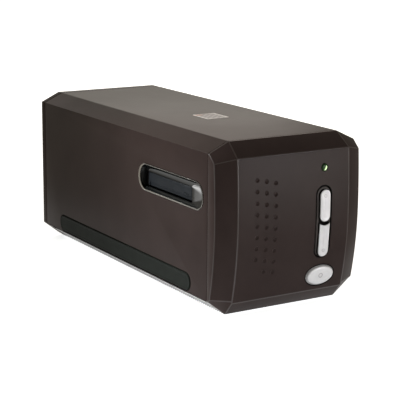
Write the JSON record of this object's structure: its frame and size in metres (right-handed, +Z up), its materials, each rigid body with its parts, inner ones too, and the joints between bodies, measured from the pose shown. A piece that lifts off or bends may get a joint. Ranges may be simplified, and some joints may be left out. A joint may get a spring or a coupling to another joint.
{
  "type": "film negative scanner",
  "caption": "Long box-shaped film scanner with a bowed front panel, a sprung-flap slot through both sides for a film holder, push buttons, and a scanning carriage inside.",
  "frame": {"origin": "middle of the base, on the surface that the feet stand on", "axes": "the front panel with the buttons faces -Y, the film holder passes through along X, and +Z is up"},
  "size_m": [0.1202, 0.2766, 0.1208],
  "materials": {
    "brown_paint": "satin metallic paint on moulded plastic",
    "grey_plastic": "fine matt texture",
    "black_gloss": "polished",
    "black_plastic": "satin",
    "silver_paint": "satin silver paint",
    "rubber": "matt",
    "steel": "plain",
    "circuit_board": "solder mask",
    "chip": "matt",
    "glass": "clear",
    "mirror": "front-silvered",
    "diffuser": "milky",
    "light_pipe": "clear green"
  },
  "bodies": {
    "scanner": {"upper_cover": "brown_paint", "bottom_tray": "grey_plastic", "front_bezel": "brown_paint", "rear_panel": "brown_paint", "left_side_pad": "rubber", "right_side_pad": "rubber", "front_left_foot": "rubber", "front_right_foot": "rubber", "rear_left_foot": "rubber", "rear_right_foot": "rubber", "front_left_case_screw": "steel", "front_right_case_screw": "steel", "rear_left_case_screw": "steel", "rear_right_case_screw": "steel", "button_board": "circuit_board", "lower_board_screw": "steel", "upper_board_screw": "steel", "upper_button_switch": "black_plastic", "lower_button_switch": "black_plastic", "power_button_switch": "black_plastic", "status_lamp": "diffuser", "status_light_pipe": "light_pipe", "left_slot_trim": "black_gloss", "right_slot_trim": "black_gloss", "left_door_pin": "steel", "right_door_pin": "steel", "left_door_spring": "steel", "right_door_spring": "steel", "film_guide": "black_plastic", "film_guide_cover": "black_plastic", "light_diffuser": "diffuser", "lamp_housing": "black_plastic", "lamp_board": "circuit_board", "scan_chassis": "black_plastic", "left_guide_rod": "steel", "right_guide_rod": "steel", "home_sensor": "chip", "stepper_motor": "steel", "main_board": "circuit_board", "front_left_main_screw": "steel", "front_right_main_screw": "steel", "rear_main_screw": "steel", "processor_chip": "chip", "usb_socket": "steel", "power_jack": "black_plastic"},
    "upper_button": {"upper_scan_button": "silver_paint"},
    "lower_button": {"lower_scan_button": "silver_paint"},
    "power_key": {"power_button": "silver_paint"},
    "left_door": {"left_dust_door": "black_plastic"},
    "right_door": {"right_dust_door": "black_plastic"},
    "carriage": {"carriage_frame": "black_plastic", "carriage_lid": "black_plastic", "folding_mirror": "mirror", "lens_barrel": "black_plastic", "front_lens": "glass", "rear_lens": "glass", "sensor_board": "circuit_board", "image_sensor": "chip", "lead_nut": "diffuser"},
    "screw_shaft": {"lead_screw": "steel"}
  },
  "joints": [
    {"name": "upper_scan_button", "type": "slide", "parent": "scanner", "child": "upper_button", "axis": [0, 1, 0], "range_m": [0, 0.001], "stiffness_N_per_m": 800, "springref_m": -0.0005},
    {"name": "lower_scan_button", "type": "slide", "parent": "scanner", "child": "lower_button", "axis": [0, 1, 0], "range_m": [0, 0.001], "stiffness_N_per_m": 800, "springref_m": -0.0005},
    {"name": "power_button", "type": "slide", "parent": "scanner", "child": "power_key", "axis": [0, 1, 0], "range_m": [0, 0.001], "stiffness_N_per_m": 800, "springref_m": -0.0005},
    {"name": "left_dust_door", "type": "hinge", "parent": "scanner", "child": "left_door", "pos_m": [-0.0537, -0.0656, 0.0887], "axis": [0, -1, 0], "range_deg": [0, 78], "stiffness_Nm_per_rad": 0.002, "springref_deg": -20.05},
    {"name": "right_dust_door", "type": "hinge", "parent": "scanner", "child": "right_door", "pos_m": [0.0537, -0.0656, 0.0887], "axis": [0, 1, 0], "range_deg": [0, 78], "stiffness_Nm_per_rad": 0.002, "springref_deg": -20.05},
    {"name": "scan_travel", "type": "slide", "parent": "scanner", "child": "carriage", "axis": [0, 1, 0], "range_m": [0, 0.03]},
    {"name": "screw_spin", "type": "hinge", "parent": "scanner", "child": "screw_shaft", "pos_m": [0, -0.01585, 0.0315], "axis": [0, 1, 0], "range_deg": [0, 1800]}
  ],
  "couplings": [
    {"joint": "screw_spin", "follows": "scan_travel", "rad_per_m": 1047.2}
  ]
}
